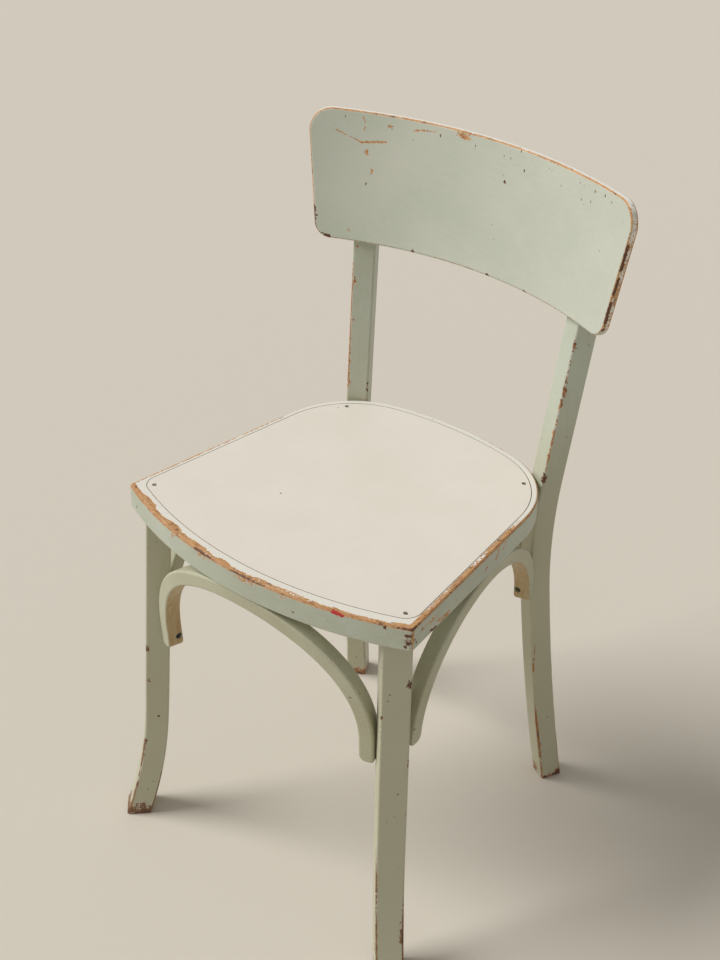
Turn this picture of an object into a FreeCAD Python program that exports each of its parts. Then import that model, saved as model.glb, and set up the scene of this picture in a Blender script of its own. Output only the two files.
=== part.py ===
import FreeCAD, Part
import math
import os

# A bentwood side chair: a bowed and bent seat ring with a thin panel let into it, two front
# legs set at 45 degrees, two rear posts in one length from floor to backrest, a curved board
# and four bent arches that brace the legs under the ring.
# Millimetres, +Z up, +Y to the rear, +X to the chair's right as seen from the front.
# It is drawn with the seat level and its front corners on y = 0. At the end it is tipped back
# to the seat's slope, stood on its sawn feet and moved so that the origin is on the floor in
# the middle of the chair's extent.

V = FreeCAD.Vector
UP = V(0, 0, 1)
RIGHT = V(1, 0, 0)
REAR = V(0, 1, 0)

# Seat height in the drawing, and how the chair stands: the seat slopes down to the rear, and
# the floor lies under the drawing's z = 0 at the seat's front corners
SEAT_HEIGHT = 455.0
SEAT_SLOPE = 1.8
FLOOR_DROP = 12.7
SAWING_LENGTH = 32.0

# Seat ring
RING_THICKNESS = 28.0
RAIL_WIDTH = 42.0
FRONT_HALF_WIDTH = 197.5
FRONT_BOW_RADIUS = 470.0
SIDE_TAPER = 6.9
CORNER_RADIUS = 111.0
BACK_RADIUS = 385.0
SEAT_DEPTH = 339.0
RING_ARRIS = 3.0
RING_UNDER_ARRIS = 2.0
FRONT_CORNER_ROUNDING = 4.5
INNER_CORNER_ROUNDING = 14.0

# Seat panel, let into a rebate in the ring
PANEL_THICKNESS = 6.0
PANEL_FRONT_INSET = 15.0
PANEL_SIDE_INSET = 7.0
PANEL_BACK_INSET = 9.0
PANEL_CORNER_ROUNDING = 19.0
PANEL_GAP = 0.4
PANEL_ARRIS = 0.6

# Round-headed panel nails, driven a little below the panel's top
NAIL_HEAD_DIAMETER = 5.0
NAIL_HEAD_HEIGHT = 0.9
NAIL_HEAD_CLEARANCE = 0.2
NAIL_SINK = 0.1
NAIL_SHANK_DIAMETER = 1.8
NAIL_LENGTH = 8.4
NAIL_FRONT = (175.5, 16.7)
NAIL_REAR = (128.0, 288.4)

# Front legs: rectangular, turned 45 degrees, kicked outwards below the knee
LEG_X = 167.3
LEG_Y = 13.4
LEG_TURN = 46.0
LEG_WIDTH = 31.5
LEG_DEPTH = 27.6
LEG_SPLAY = 2.9
LEG_KICK_HEIGHT = 150.0
LEG_KICK_RADIUS = 640.0
LEG_ARRIS = 2.3
TENON_DIAMETER = 20.0
TENON_LENGTH = 18.0
TENON_CLEARANCE = 0.1
TENON_END_GAP = 0.5

# Rear posts: toed in, leaning back above the seat, swept back below it
POST_WIDTH = 26.0
POST_DEPTH = 26.5
POST_TOE_IN = 28.0
POST_SIDE_STEP = 22.0
POST_HOUSING = 2.2
POST_TOP = 768.0
POST_LEAN = 7.4
POST_BEND_HEIGHT = 455.0
POST_KNEE_RADIUS = 680.0
POST_KNEE_END = 300.0
POST_SWEEP_RADIUS = 3500.0
POST_ARRIS = 2.5
FOOT_CHAMFER = 1.5

# Backrest board: part of a cylinder about an axis in front of it, tilted back
BOARD_RADIUS = 446.0
BOARD_THICKNESS = 9.0
BOARD_TILT = 7.85
BOARD_BOTTOM_HEIGHT = 651.5
BOARD_HEIGHT = 149.0
BOARD_TOP_LENGTH = 448.5
BOARD_BOTTOM_LENGTH = 401.2
BOARD_TOP_DROP = 7.6
BOARD_BOTTOM_DROP = 8.0
BOARD_TOP_ROUNDING = 27.0
BOARD_BOTTOM_ROUNDING = 19.0
BOARD_ARRIS = 2.5
BOARD_BED = 1.4

# Bent arches, the heights of their sawn ends measured up to the ring's underside
ARCH_DEPTH = 19.2
ARCH_THICKNESS = 17.8
ARCH_RISE = 141.0
REAR_ARCH_RISE = 124.0
FRONT_ARCH_END_HEIGHT = 170.5
SIDE_ARCH_FRONT_END_HEIGHT = 146.0
REAR_END_HEIGHT = 130.0
ARCH_SCREW_RISE = 16.0
ARCH_SETBACK = 1.5
ARCH_CROWN_PLANED = 0.8
ARCH_ARRIS = 2.6
ARCH_END_INNER_ROUNDING = 8.5
ARCH_END_OUTER_ROUNDING = 4.0
ARCH_HOUSING = 1.5
FRONT_ARCH_HOUSING = 1.2
SIDE_ARCH_LEG_SHIFT = 5.0
SIDE_ARCH_POST_SHIFT = 3.5
SIDE_ARCH_BOW_RADIUS = 1900.0
REAR_ARCH_BOW_RADIUS = 1400.0

# Slotted screws, their heads sunk in counterbores
SCREW_HEAD_DIAMETER = 7.6
SCREW_HEAD_HEIGHT = 2.4
SCREW_DOME_HEIGHT = 0.8
SCREW_RIM_HEIGHT = 0.4
SCREW_SHANK_DIAMETER = 4.0
SCREW_POINT = 3.0
SCREW_SLOT_WIDTH = 1.0
SCREW_SLOT_DEPTH = 1.0
COUNTERBORE_CLEARANCE = 0.4
COUNTERBORE_DEPTH = 4.0
SHANK_CLEARANCE = 0.1
ARCH_END_SCREW_LENGTH = 28.0
CROWN_SCREW_LENGTH = 25.0
CROWN_SCREW_OFFSET = 14.0
POST_SCREW_LENGTH = 42.0
BOARD_SCREW_LENGTH = 28.0
BOARD_SCREW_HEIGHTS = (32.0, 94.0)

RING_UNDERSIDE = SEAT_HEIGHT - RING_THICKNESS

# Larger than anything drawn, and the least upward part of a direction that counts as upright
BIG = 1000.0
UPRIGHT = 0.999


# Small helpers

def mirrored(point):
    return V(-point.x, point.y, point.z)


def line(start, end):
    return Part.LineSegment(start, end).toShape()


def arc(start, middle, end):
    return Part.Arc(start, middle, end).toShape()


def prism(wire, height):
    return Part.Face(wire).extrude(UP * height)


def raised(wire, z):
    copy = wire.copy()
    copy.translate(UP * z)
    return copy


def mirror_shape(shape):
    return shape.mirror(V(0, 0, 0), RIGHT)


def slab(z_low, z_high):
    return Part.makeBox(2 * BIG, 2 * BIG, z_high - z_low, V(-BIG, -BIG, z_low))


def unit(vector):
    return V(vector).normalize()


def upright_edges(shape, test):
    """Vertical straight edges whose middle passes the test."""
    chosen = []
    for edge in shape.Edges:
        ends = [vertex.Point for vertex in edge.Vertexes]
        if len(ends) == 2 and abs(unit(ends[1] - ends[0]).z) > UPRIGHT:
            if test((ends[0] + ends[1]) * 0.5):
                chosen.append(edge)
    return chosen


def edges_at_height(shape, z):
    return [edge for edge in shape.Edges
            if abs(edge.BoundBox.ZMin - z) < 0.01 and abs(edge.BoundBox.ZMax - z) < 0.01]


def standing():
    """From the drawing to the chair on its feet: tipped back to the seat's slope and lifted."""
    lift = FLOOR_DROP * math.cos(math.radians(SEAT_SLOPE))
    return FreeCAD.Placement(UP * lift, FreeCAD.Rotation(RIGHT, -SEAT_SLOPE))


def sawn_on_floor(bar):
    """A leg or post sawn level where the standing chair meets the floor, its foot eased."""
    bar = bar.copy()
    bar.Placement = standing()
    bar = bar.common(slab(0, BIG))
    bar = bar.makeChamfer(FOOT_CHAMFER, edges_at_height(bar, 0))
    bar.Placement = standing().inverse()
    return bar


# Seat ring and panel

def front_bow_centre():
    return V(0, math.sqrt(FRONT_BOW_RADIUS ** 2 - FRONT_HALF_WIDTH ** 2), 0)


def side_directions():
    """Along the seat's right side towards the rear, and outwards from it."""
    taper = math.radians(SIDE_TAPER)
    return V(-math.sin(taper), math.cos(taper), 0), V(math.cos(taper), math.sin(taper), 0)


def front_corner(front_inset, side_inset):
    """Where the drawn-in front arc meets the drawn-in side line."""
    along, out = side_directions()
    start = V(FRONT_HALF_WIDTH, 0, 0) - out * side_inset
    reach = start - front_bow_centre()
    forward = reach.dot(along)
    radius = FRONT_BOW_RADIUS - front_inset
    return start - along * (forward + math.sqrt(forward ** 2 - reach.dot(reach) + radius ** 2))


def rear_corner_arc(side_inset, back_inset):
    """Side end, centre and back end of the arc that joins the side line to the back arc."""
    along, out = side_directions()
    radius = CORNER_RADIUS - side_inset
    back_radius = BACK_RADIUS - back_inset
    back_centre = V(0, SEAT_DEPTH - BACK_RADIUS, 0)
    start = V(FRONT_HALF_WIDTH, 0, 0) - out * side_inset
    reach = start - out * radius - back_centre
    forward = reach.dot(along)
    step = math.sqrt(forward ** 2 - reach.dot(reach) + (back_radius - radius) ** 2) - forward
    side_end = start + along * step
    centre = side_end - out * radius
    back_end = centre + unit(centre - back_centre) * radius
    return side_end, centre, back_end


def seat_outline(front_inset, side_inset, back_inset):
    """The seat's outline, drawn in from the ring's outside: four arcs and two side lines."""
    corner = front_corner(front_inset, side_inset)
    side_end, centre, back_end = rear_corner_arc(side_inset, back_inset)
    radius = CORNER_RADIUS - side_inset
    corner_middle = centre + unit(unit(side_end - centre) + unit(back_end - centre)) * radius
    front_middle = V(0, front_bow_centre().y - FRONT_BOW_RADIUS + front_inset, 0)
    back_middle = V(0, SEAT_DEPTH - back_inset, 0)
    edges = [
        arc(mirrored(corner), front_middle, corner),
        line(corner, side_end),
        arc(side_end, corner_middle, back_end),
        arc(back_end, back_middle, mirrored(back_end)),
        arc(mirrored(back_end), mirrored(corner_middle), mirrored(side_end)),
        line(mirrored(side_end), mirrored(corner)),
    ]
    return Part.Wire(edges)


def seat_block(insets, corner_rounding, z_low, z_high):
    """A flat block with the seat's outline and rounded front corners."""
    block = prism(raised(seat_outline(*insets), z_low), z_high - z_low)
    corner = front_corner(insets[0], insets[1])
    fronts = upright_edges(block, lambda point: abs(point.y - corner.y) < 1.0)
    return block.makeFillet(corner_rounding, fronts)


def seat_ring():
    """The whole ring before it is parted at the front corners."""
    ring = seat_block((0, 0, 0), FRONT_CORNER_ROUNDING, RING_UNDERSIDE, SEAT_HEIGHT)
    ring = ring.makeFillet(RING_ARRIS, edges_at_height(ring, SEAT_HEIGHT))
    ring = ring.makeFillet(RING_UNDER_ARRIS, edges_at_height(ring, RING_UNDERSIDE))
    opening = seat_block((RAIL_WIDTH,) * 3, INNER_CORNER_ROUNDING, 0, BIG)
    panel_insets = (PANEL_FRONT_INSET, PANEL_SIDE_INSET, PANEL_BACK_INSET)
    rebate = seat_block([inset - PANEL_GAP for inset in panel_insets],
                        PANEL_CORNER_ROUNDING + PANEL_GAP, SEAT_HEIGHT - PANEL_THICKNESS, BIG)
    return ring.cut(opening).cut(rebate)


def seat_panel():
    insets = (PANEL_FRONT_INSET, PANEL_SIDE_INSET, PANEL_BACK_INSET)
    panel = seat_block(insets, PANEL_CORNER_ROUNDING, SEAT_HEIGHT - PANEL_THICKNESS, SEAT_HEIGHT)
    return panel.makeFillet(PANEL_ARRIS, edges_at_height(panel, SEAT_HEIGHT))


def front_lap():
    """The front rail's share of the ring: its full width below, its middle above.

    The lower half runs on to the ring's front corners and the upper half stops at the inner
    edges of the side rails, which lap over it."""
    centre = front_bow_centre()
    inner = Part.makeCylinder(FRONT_BOW_RADIUS - RAIL_WIDTH, BIG, centre)
    half_height = RING_UNDERSIDE + RING_THICKNESS / 2
    along, out = side_directions()
    near = V(FRONT_HALF_WIDTH, 0, 0) - out * RAIL_WIDTH - along * BIG / 2
    far = near + along * BIG
    between = Part.makePolygon([near, far, mirrored(far), mirrored(near), near])
    lower = slab(0, half_height)
    upper = prism(raised(between, half_height), BIG)
    front = Part.makeBox(2 * BIG, BIG, BIG, V(-BIG, SEAT_DEPTH / 2 - BIG, 0))
    return lower.fuse(upper).common(front).cut(inner)


# Bars with rounded arrises, swept along a centreline that bends in one upright plane

def centreline(top, lean, bends):
    """Pieces of a centreline that runs down from top, as (height, offset, angle) pairs.

    Angles are from straight down, outwards positive. Each bend is the height it ends at and
    its radius, or None for a straight run, and every arc bends outwards."""
    height, offset, angle = top, 0.0, math.radians(lean)
    pieces = []
    for end, radius in bends:
        if radius is None:
            next_angle = angle
            next_offset = offset + (height - end) * math.tan(angle)
        else:
            next_angle = math.asin(math.sin(angle) + (height - end) / radius)
            next_offset = offset + radius * (math.cos(angle) - math.cos(next_angle))
        pieces.append((height, offset, angle, end, next_offset, next_angle, radius))
        height, offset, angle = end, next_offset, next_angle
    return pieces


def offset_at(pieces, z):
    """How far outwards a centreline lies at height z."""
    for height, offset, angle, end, next_offset, next_angle, radius in pieces:
        if end <= z <= height:
            if radius is None:
                return offset + (height - z) * math.tan(angle)
            here = math.asin(math.sin(angle) + (height - z) / radius)
            return offset + radius * (math.cos(angle) - math.cos(here))
    raise ValueError("height outside the centreline")


def rounded_rectangle(centre, x_axis, y_axis, width, depth, rounding):
    """A wire across the given axes, with its four corners rounded."""
    half_x, half_y = width / 2, depth / 2
    diagonal = rounding * (1 - math.sqrt(0.5))
    edges = []
    previous_end = None
    first_start = None
    for sx, sy in ((1, 1), (-1, 1), (-1, -1), (1, -1)):
        flat_x = centre + x_axis * (sx * (half_x - rounding)) + y_axis * (sy * half_y)
        flat_y = centre + x_axis * (sx * half_x) + y_axis * (sy * (half_y - rounding))
        middle = centre + x_axis * (sx * (half_x - diagonal)) + y_axis * (sy * (half_y - diagonal))
        start, end = (flat_y, flat_x) if sx * sy > 0 else (flat_x, flat_y)
        if previous_end is None:
            first_start = start
        else:
            edges.append(line(previous_end, start))
        edges.append(arc(start, middle, end))
        previous_end = end
    edges.append(line(previous_end, first_start))
    return Part.Wire(edges)


def bent_bar(pieces, foot, outward, width, depth, rounding):
    """A bar along a centreline over the plan point foot, bending towards outward."""
    path = []
    for height, offset, angle, end, next_offset, next_angle, radius in pieces:
        start = foot + outward * offset + UP * height
        finish = foot + outward * next_offset + UP * end
        if radius is None:
            path.append(line(start, finish))
        else:
            middle_angle = (angle + next_angle) / 2
            centre = start + (outward * math.cos(angle) + UP * math.sin(angle)) * radius
            middle = centre - (outward * math.cos(middle_angle)
                               + UP * math.sin(middle_angle)) * radius
            path.append(arc(start, middle, finish))
    top_height, top_offset, top_angle = pieces[0][:3]
    top = foot + outward * top_offset + UP * top_height
    face = outward * math.cos(top_angle) + UP * math.sin(top_angle)
    across = UP.cross(outward)
    section = rounded_rectangle(top, across, face, width, depth, rounding)
    return Part.Wire(path).makePipeShell([section], True, False)


# Front legs

def leg_outward():
    turn = math.radians(LEG_TURN)
    return V(math.sin(turn), -math.cos(turn), 0)


def leg_pieces():
    bends = [(LEG_KICK_HEIGHT, None), (-SAWING_LENGTH, LEG_KICK_RADIUS)]
    return centreline(SEAT_HEIGHT, LEG_SPLAY, bends)


def leg_foot_point():
    """The plan point under the leg's centreline where that meets the ring."""
    return V(LEG_X, LEG_Y, 0) - leg_outward() * offset_at(leg_pieces(), RING_UNDERSIDE)


def leg_centre(z):
    return leg_foot_point() + leg_outward() * offset_at(leg_pieces(), z) + UP * z


def tenon(clearance, length):
    return Part.makeCylinder(TENON_DIAMETER / 2 + clearance, length + RING_THICKNESS / 2,
                             V(LEG_X, LEG_Y, RING_UNDERSIDE - RING_THICKNESS / 2))


def front_leg():
    """The right leg: swept bar, sawn level at the floor and at the ring, with a round tenon."""
    bar = bent_bar(leg_pieces(), leg_foot_point(), leg_outward(), LEG_WIDTH, LEG_DEPTH, LEG_ARRIS)
    bar = sawn_on_floor(bar.common(slab(-BIG, RING_UNDERSIDE)))
    return bar.fuse(tenon(0, TENON_LENGTH)).removeSplitter()


# Rear posts

def post_directions():
    """Out of the post's back face, and out of its outer side face."""
    toe_in = math.radians(POST_TOE_IN)
    return V(math.sin(toe_in), math.cos(toe_in), 0), V(math.cos(toe_in), -math.sin(toe_in), 0)


def post_ring_point():
    """The post's centre at the ring's underside, where its front is housed over the corner."""
    back, side = post_directions()
    corner_centre = rear_corner_arc(0, 0)[1]
    forward = CORNER_RADIUS - POST_HOUSING + POST_DEPTH / 2
    return corner_centre + back * forward + side * POST_SIDE_STEP


def post_pieces():
    bends = [(POST_BEND_HEIGHT, None), (POST_KNEE_END, POST_KNEE_RADIUS),
             (-SAWING_LENGTH, POST_SWEEP_RADIUS)]
    return centreline(POST_TOP, -POST_LEAN, bends)


def post_foot_point():
    back = post_directions()[0]
    return post_ring_point() - back * offset_at(post_pieces(), RING_UNDERSIDE)


def post_centre(z):
    back = post_directions()[0]
    return post_foot_point() + back * offset_at(post_pieces(), z) + UP * z


def rear_post():
    """The right post: swept bar, sawn level at the floor and rounded over on top."""
    back = post_directions()[0]
    bar = bent_bar(post_pieces(), post_foot_point(), back, POST_WIDTH, POST_DEPTH, POST_ARRIS)
    top_face = max(bar.Faces, key=lambda face: face.CenterOfMass.z)
    bar = sawn_on_floor(bar.makeFillet(POST_ARRIS, top_face.Edges))
    ring_blank = seat_block((0, 0, 0), FRONT_CORNER_ROUNDING, RING_UNDERSIDE, SEAT_HEIGHT)
    return bar.cut(ring_blank)


# Backrest board

def board_placement():
    """The board's frame: origin in front of its lower middle, z up the tilted board.

    The board is bedded in the fronts of the posts at its half height."""
    tilt = math.radians(BOARD_TILT)
    middle_height = BOARD_BOTTOM_HEIGHT + BOARD_HEIGHT / 2 * math.cos(tilt)
    post_face = post_centre(middle_height) - post_directions()[0] * (POST_DEPTH / 2)
    outer_radius = BOARD_RADIUS + BOARD_THICKNESS
    forward = BOARD_RADIUS - math.sqrt(outer_radius ** 2 - post_face.x ** 2)
    up_board = (middle_height - BOARD_BOTTOM_HEIGHT - forward * math.sin(tilt)) / math.cos(tilt)
    y = post_face.y + BOARD_BED - up_board * math.sin(tilt) + forward * math.cos(tilt)
    return FreeCAD.Placement(V(0, y, BOARD_BOTTOM_HEIGHT),
                             FreeCAD.Rotation(RIGHT, -BOARD_TILT))


def arched_edge(length, height, drop):
    """The top or bottom edge line seen from the front, as a face reaching far above it."""
    half = BOARD_RADIUS * math.sin(length / 2 / BOARD_RADIUS)
    radius = (half ** 2 + drop ** 2) / (2 * drop)
    reach = BOARD_RADIUS + BOARD_THICKNESS
    fall = radius - math.sqrt(radius ** 2 - reach ** 2)
    left = V(-reach, -BIG, height - fall)
    right = V(reach, -BIG, height - fall)
    top = V(0, 0, BIG)
    edges = [arc(left, V(0, -BIG, height), right), line(right, right + top),
             line(right + top, left + top), line(left + top, left)]
    return Part.Face(Part.Wire(edges)).extrude(REAR * 2 * BIG)


def board_end():
    """Everything beyond the board's right end: a plane through its thickness, slanted."""
    mean_angle = (BOARD_TOP_LENGTH + BOARD_BOTTOM_LENGTH) / 4 / BOARD_RADIUS
    slant = math.atan((BOARD_TOP_LENGTH - BOARD_BOTTOM_LENGTH) / 2 / BOARD_HEIGHT)
    radial = V(math.sin(mean_angle), math.cos(mean_angle), 0)
    tangent = V(math.cos(mean_angle), -math.sin(mean_angle), 0)
    normal = tangent * math.cos(slant) - UP * math.sin(slant)
    middle = (radial * BOARD_RADIUS - REAR * BOARD_RADIUS) + UP * (BOARD_HEIGHT / 2)
    up_end = normal.cross(radial)
    wide, tall = BOARD_RADIUS, 3 * BOARD_HEIGHT
    corner = middle - radial * wide / 2 - up_end * tall / 2
    wire = Part.makePolygon([corner, corner + radial * wide, corner + radial * wide + up_end * tall,
                             corner + up_end * tall, corner])
    return Part.Face(wire).extrude(normal * wide)


def backrest_board():
    """A curved board with arched top and bottom edges, slanted ends and rounded corners."""
    axis = V(0, -BOARD_RADIUS, -BOARD_HEIGHT)
    board = Part.makeCylinder(BOARD_RADIUS + BOARD_THICKNESS, 3 * BOARD_HEIGHT, axis)
    board = board.cut(Part.makeCylinder(BOARD_RADIUS, 3 * BOARD_HEIGHT, axis))
    board = board.common(Part.makeBox(2 * BIG, BIG, BIG, V(-BIG, -BOARD_RADIUS / 2, -BIG / 2)))
    board = board.common(arched_edge(BOARD_BOTTOM_LENGTH, 0, BOARD_BOTTOM_DROP))
    board = board.cut(arched_edge(BOARD_TOP_LENGTH, BOARD_HEIGHT, BOARD_TOP_DROP))
    end = board_end()
    board = board.cut(end).cut(mirror_shape(end))
    for rounding, above in ((BOARD_TOP_ROUNDING, True), (BOARD_BOTTOM_ROUNDING, False)):
        corners = [edge for edge in board.Edges
                   if edge.Length < 2 * BOARD_THICKNESS
                   and (edge.CenterOfMass.z > BOARD_HEIGHT / 2) == above]
        board = board.makeFillet(rounding, corners)
    faces = sorted(board.Faces, key=lambda face: face.Area)[-2:]
    board = board.makeFillet(BOARD_ARRIS, [edge for face in faces for edge in face.Edges])
    board.Placement = board_placement()
    return board


# Bent arches

def half_ellipse(half_width, rise, z):
    """The upper half of an ellipse in the XZ plane, from its right end over to its left."""
    centre = UP * z
    side, top = centre + RIGHT * half_width, centre + UP * rise
    if half_width >= rise:
        ellipse, first, last = Part.Ellipse(side, top, centre), 0, math.pi
    else:
        left = centre - RIGHT * half_width
        ellipse, first, last = Part.Ellipse(top, left, centre), -math.pi / 2, math.pi / 2
    return Part.Arc(ellipse, first, last).toShape()


def arch_profile(outer_half, inner_half, rise, low, y):
    """The arch seen square on, in the plane y: straight limbs down to low under half ellipses."""
    spring = RING_UNDERSIDE + ARCH_CROWN_PLANED - rise
    outer = half_ellipse(outer_half, rise, spring)
    inner = half_ellipse(inner_half, rise - ARCH_THICKNESS, spring)
    outer_low, inner_low = V(outer_half, 0, low), V(inner_half, 0, low)
    outer_spring, inner_spring = V(outer_half, 0, spring), V(inner_half, 0, spring)
    edges = [line(outer_low, outer_spring), outer, line(mirrored(outer_spring), mirrored(outer_low)),
             line(mirrored(outer_low), mirrored(inner_low)),
             line(mirrored(inner_low), mirrored(inner_spring)), inner,
             line(inner_spring, inner_low), line(inner_low, outer_low)]
    wire = Part.Wire(edges)
    wire.translate(REAR * y)
    return wire


def arch_blank(half_width, rise, low, axis_distance):
    """The arch's outline through its depth, its limbs turned with the bow.

    It widens away from the upright axis of the bow, axis_distance behind the chord."""
    wires = []
    reach = ARCH_DEPTH + rise
    for y in (-reach, reach):
        widening = (axis_distance - y) / axis_distance
        wires.append(arch_profile(half_width * widening, (half_width - ARCH_THICKNESS) * widening,
                                  rise, low, y))
    return Part.makeLoft(wires, True, True)


def sawn_limb(arch, side, height):
    """The arch with one limb sawn off level, its concave corner well rounded, the other eased."""
    corner = V(0 if side > 0 else -BIG, -BIG, height - BIG)
    arch = arch.cut(Part.makeBox(BIG, 2 * BIG, BIG, corner))
    for rounding, pick in ((ARCH_END_INNER_ROUNDING, min), (ARCH_END_OUTER_ROUNDING, max)):
        across = [edge for edge in edges_at_height(arch, height)
                  if edge.CenterOfMass.x * side > 0
                  and edge.BoundBox.YLength > edge.BoundBox.XLength]
        arch = arch.makeFillet(rounding, [pick(across, key=lambda edge: abs(edge.CenterOfMass.x))])
    return arch


def arch_between(end_a, end_b, crown, rise, bow_radius):
    """An arch whose limbs are screwed to their supports at the points end_a and end_b.

    Its crown, bowed and leaning outwards, passes over the plan point crown. All three points
    are in the middle of its depth."""
    chord = unit(flat(end_b - end_a))
    outward = chord.cross(UP)
    half_width = flat(end_b - end_a).Length / 2
    reach = (crown - end_a).dot(outward)
    middle = flat(end_a) + chord * half_width
    radius = bow_radius - ARCH_DEPTH / 2
    axis_distance = math.sqrt(radius ** 2 - half_width ** 2)
    bow = radius - axis_distance
    screw_height = (end_a.z + end_b.z) / 2
    lean = (reach - bow) / (RING_UNDERSIDE - screw_height)
    low = min(end_a.z, end_b.z) - ARCH_SCREW_RISE - ARCH_DEPTH
    high = RING_UNDERSIDE + ARCH_DEPTH
    wide = half_width + 2 * ARCH_DEPTH
    centre_y = axis_distance + (screw_height - low) * lean
    rims = []
    for rim in (radius + ARCH_DEPTH / 2, radius - ARCH_DEPTH / 2):
        side_y = centre_y - math.sqrt(rim ** 2 - wide ** 2)
        rims.append([V(-wide, side_y, low), V(0, centre_y - rim, low), V(wide, side_y, low)])
    (a, b, c), (d, e, f) = rims
    band = Part.Face(Part.Wire([arc(a, b, c), line(c, f), arc(f, e, d), line(d, a)]))
    leaning = V(0, -lean * (high - low), high - low)
    arch = arch_blank(half_width, rise, low, axis_distance).common(band.extrude(leaning))
    for side, end in ((-1, end_a), (1, end_b)):
        arch = sawn_limb(arch, side, end.z - ARCH_SCREW_RISE)
    faces = sorted(arch.Faces, key=lambda face: len(face.Edges))[-2:]
    arch = arch.makeFillet(ARCH_ARRIS, [edge for face in faces for edge in face.Edges])
    arch.Placement = FreeCAD.Placement(middle, FreeCAD.Rotation(RIGHT, chord))
    return arch.common(slab(0, RING_UNDERSIDE))


def flat(point):
    return V(point.x, point.y, 0)


def front_arch_end():
    """The right limb's screw point, on the leg's arris that points at the other front leg."""
    outward = leg_outward()
    across = UP.cross(outward)
    leg = leg_centre(RING_UNDERSIDE - FRONT_ARCH_END_HEIGHT + ARCH_SCREW_RISE)
    return leg - outward * (LEG_DEPTH / 2) - across * (LEG_WIDTH / 2) + RIGHT * FRONT_ARCH_HOUSING


def side_arch_ends():
    """The right arch's screw points, on the leg's rear face and on the post's front face."""
    outward = leg_outward()
    across = UP.cross(outward)
    leg = leg_centre(RING_UNDERSIDE - SIDE_ARCH_FRONT_END_HEIGHT + ARCH_SCREW_RISE)
    leg_end = leg + across * (LEG_WIDTH / 2 - ARCH_HOUSING) - outward * SIDE_ARCH_LEG_SHIFT
    back, side = post_directions()
    post = post_centre(RING_UNDERSIDE - REAR_END_HEIGHT + ARCH_SCREW_RISE)
    post_end = post - back * (POST_DEPTH / 2 - ARCH_HOUSING) + side * SIDE_ARCH_POST_SHIFT
    return leg_end, post_end


def rear_arch_end():
    """The right limb's screw point, on the post's inner face."""
    side = post_directions()[1]
    post = post_centre(RING_UNDERSIDE - REAR_END_HEIGHT + ARCH_SCREW_RISE)
    return post - side * (POST_WIDTH / 2 - ARCH_HOUSING)


def front_crown():
    return V(0, front_bow_centre().y - FRONT_BOW_RADIUS + ARCH_SETBACK + ARCH_DEPTH / 2, 0)


def side_crown():
    """Under the ring's right side, level with the middle of the side arch's chord."""
    leg_end, post_end = side_arch_ends()
    along, out = side_directions()
    corner = V(FRONT_HALF_WIDTH, 0, 0)
    middle = flat(leg_end + post_end) * 0.5
    side_point = corner + along * (middle - corner).dot(along)
    return side_point - out * (ARCH_SETBACK + ARCH_DEPTH / 2)


def rear_crown():
    return V(0, SEAT_DEPTH - ARCH_SETBACK - ARCH_DEPTH / 2, 0)


def front_arch():
    """Bowed with the ring's front, its limbs housed over the arrises of the front legs."""
    end = front_arch_end()
    bow_radius = FRONT_BOW_RADIUS - ARCH_SETBACK
    return arch_between(mirrored(end), end, front_crown(), ARCH_RISE, bow_radius)


def side_arch():
    leg_end, post_end = side_arch_ends()
    return arch_between(leg_end, post_end, side_crown(), ARCH_RISE, SIDE_ARCH_BOW_RADIUS)


def rear_arch():
    """Across the posts' inner faces, its crown under the back of the ring."""
    end = rear_arch_end()
    return arch_between(end, mirrored(end), rear_crown(), REAR_ARCH_RISE, REAR_ARCH_BOW_RADIUS)


# Screws and nails: each is a head point, the direction it is driven in and a length

def screw(head_point, direction, length):
    """A slotted screw, the top of its head at head_point."""
    shank = SCREW_SHANK_DIAMETER / 2
    head = SCREW_HEAD_DIAMETER / 2
    rim = SCREW_DOME_HEIGHT + SCREW_RIM_HEIGHT
    outline = [V(0, 0, 0), V(shank, 0, 0), V(head, 0, SCREW_DOME_HEIGHT), V(head, 0, rim),
               V(shank, 0, SCREW_HEAD_HEIGHT), V(shank, 0, length - SCREW_POINT), V(0, 0, length), V(0, 0, 0)]
    body = Part.Face(Part.makePolygon(outline)).revolve(V(0, 0, 0), UP, 360)
    slot = Part.makeBox(SCREW_HEAD_DIAMETER, SCREW_SLOT_WIDTH, 2 * SCREW_SLOT_DEPTH,
                        V(-head, -SCREW_SLOT_WIDTH / 2, -SCREW_SLOT_DEPTH))
    body = body.cut(slot)
    body.Placement = FreeCAD.Placement(head_point, FreeCAD.Rotation(UP, direction))
    return body


def screw_hole(head_point, direction, length):
    """The counterbore above a screw's head and the clearance bore along its shank."""
    mouth = head_point - direction * ARCH_DEPTH
    seat = ARCH_DEPTH + SCREW_HEAD_HEIGHT
    radius = SCREW_HEAD_DIAMETER / 2 + COUNTERBORE_CLEARANCE
    hole = Part.makeCylinder(radius, seat, mouth, direction)
    shank = SCREW_SHANK_DIAMETER / 2 + SHANK_CLEARANCE
    return hole.fuse(Part.makeCylinder(shank, length, head_point, direction))


def sunk(surface_point, direction, length):
    """A screw driven from a surface, its head at the counterbore's floor."""
    head_top = COUNTERBORE_DEPTH - SCREW_HEAD_HEIGHT
    return surface_point + direction * head_top, direction, length


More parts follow.
